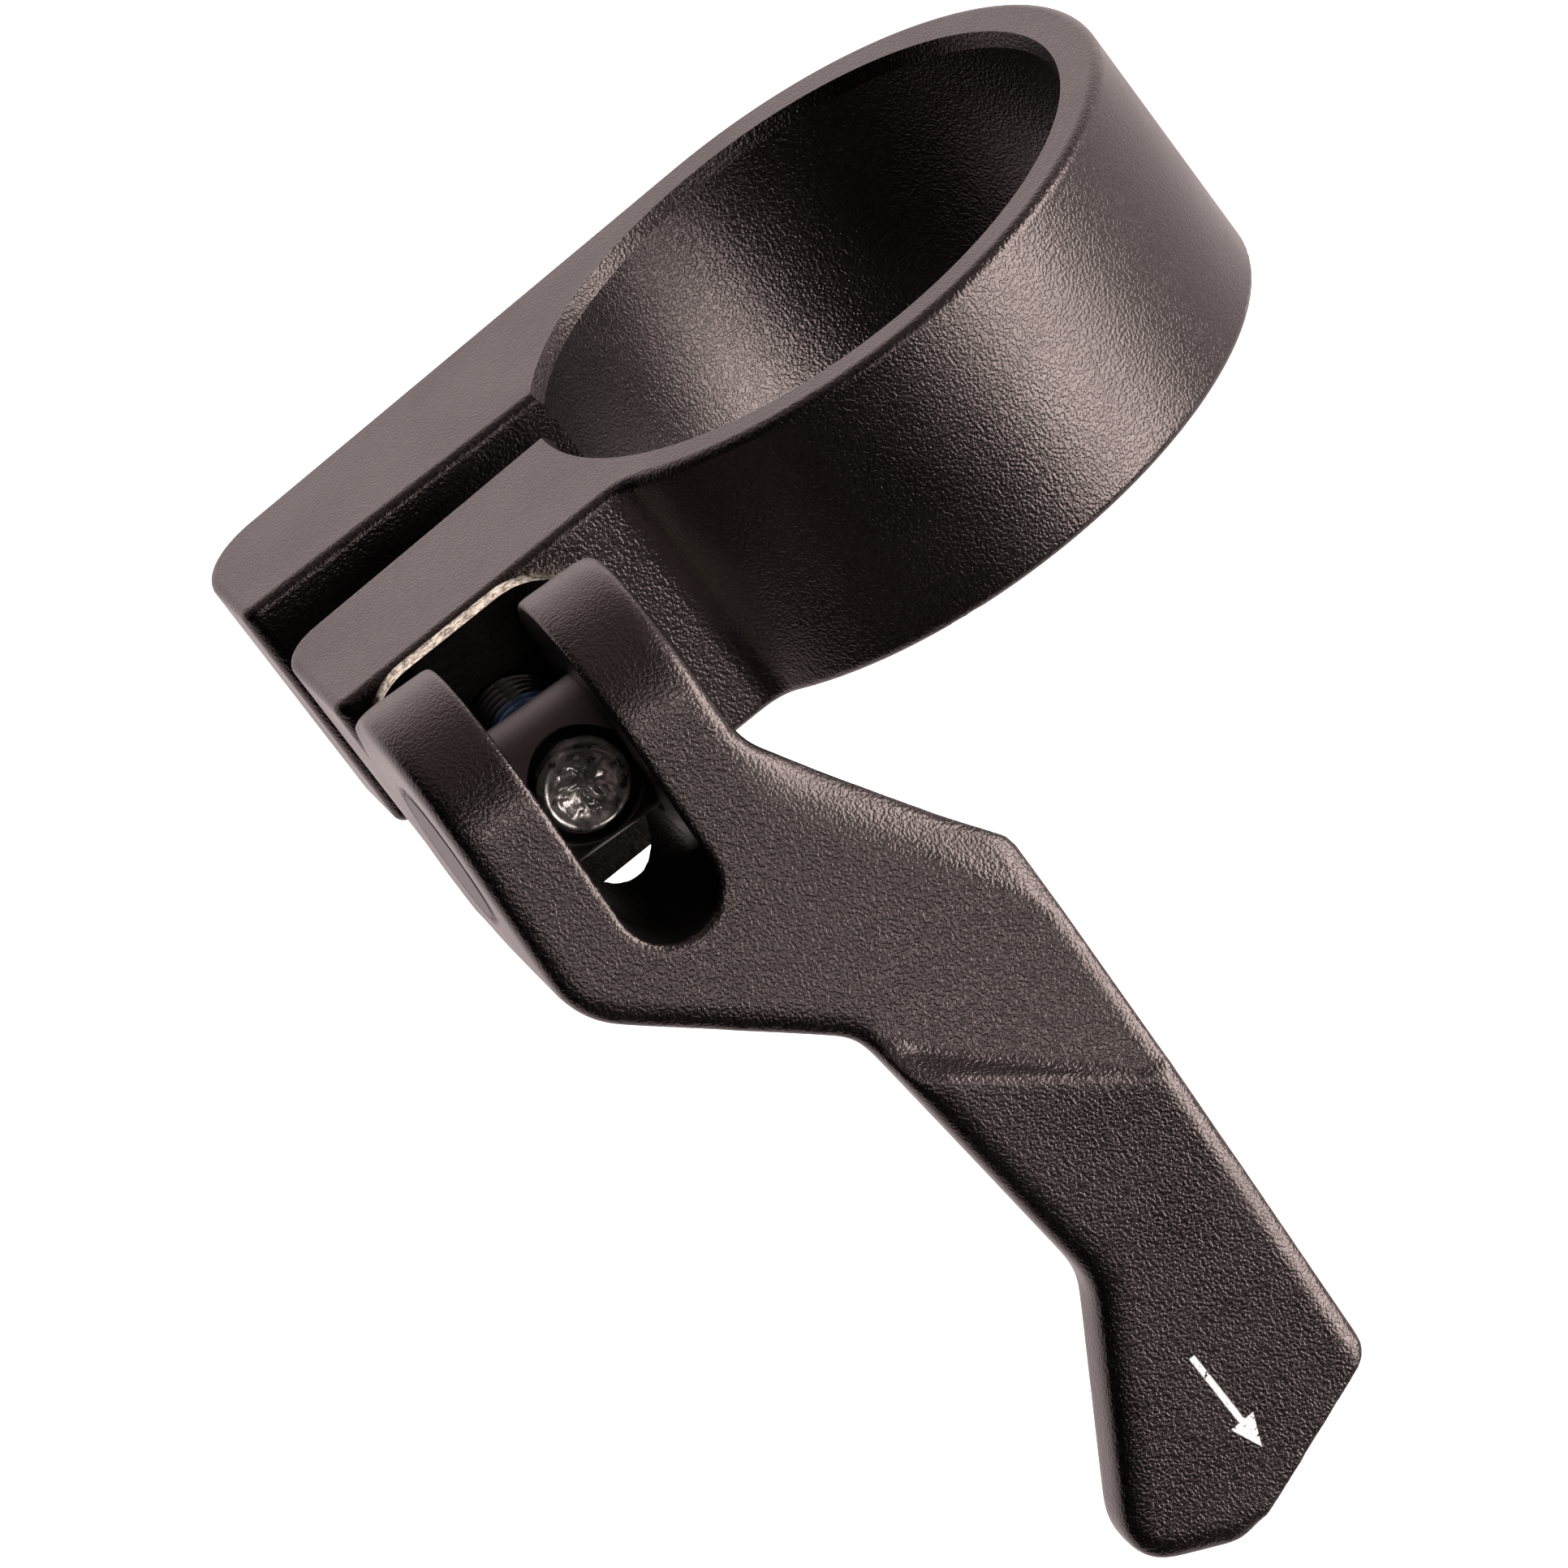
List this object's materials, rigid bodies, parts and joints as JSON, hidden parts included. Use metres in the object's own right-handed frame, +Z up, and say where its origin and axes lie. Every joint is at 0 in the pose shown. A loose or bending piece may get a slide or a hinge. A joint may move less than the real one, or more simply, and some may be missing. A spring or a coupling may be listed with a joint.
{
  "type": "quick-release seat clamp",
  "caption": "Quick-release seatpost clamp: a split collar closed by a forked cam lever, a barrel nut and a bolt.",
  "frame": {"origin": "on the axis of the collar's bore, halfway up the collar", "axes": "+Z up the bore, the ears point along -X, the bolt lies along Y with the lever on the -Y side"},
  "size_m": [0.053, 0.0558, 0.0577],
  "materials": {
    "blasted_black_alloy": "bead-blasted, black anodised, fine grain",
    "black_oxide_steel": "black oxide, oiled, semi-gloss",
    "plated_washer": "pale plated steel, satin"
  },
  "bodies": {
    "collar": {"clamp_band": "blasted_black_alloy", "cam_washer": "plated_washer"},
    "head_seat": {"head_washer": "plated_washer"},
    "bolt": {"clamp_bolt": "black_oxide_steel"},
    "nut": {"barrel_nut": "black_oxide_steel"},
    "lever": {"cam_lever": "blasted_black_alloy"}
  },
  "joints": [
    {"name": "bolt_slack", "type": "slide", "parent": "collar", "child": "head_seat", "axis": [0, 1, 0], "range_m": [0, 0.00143]},
    {"name": "bolt_turn", "type": "hinge", "parent": "head_seat", "child": "bolt", "pos_m": [-0.02665, 0, 0.00115], "axis": [0, 1, 0], "continuous": true},
    {"name": "lever_swivel", "type": "hinge", "parent": "head_seat", "child": "nut", "pos_m": [-0.02665, 0, 0.00115], "axis": [0, 1, 0], "range_deg": [-235, 5]},
    {"name": "lever_throw", "type": "hinge", "parent": "nut", "child": "lever", "pos_m": [-0.02665, -0.02063, 0.00115], "axis": [-0.9981, 0, 0.061], "range_deg": [0, 164]}
  ],
  "couplings": [
    {"joint": "lever_throw", "follows": "bolt_slack", "rad_per_m": 2000}
  ]
}
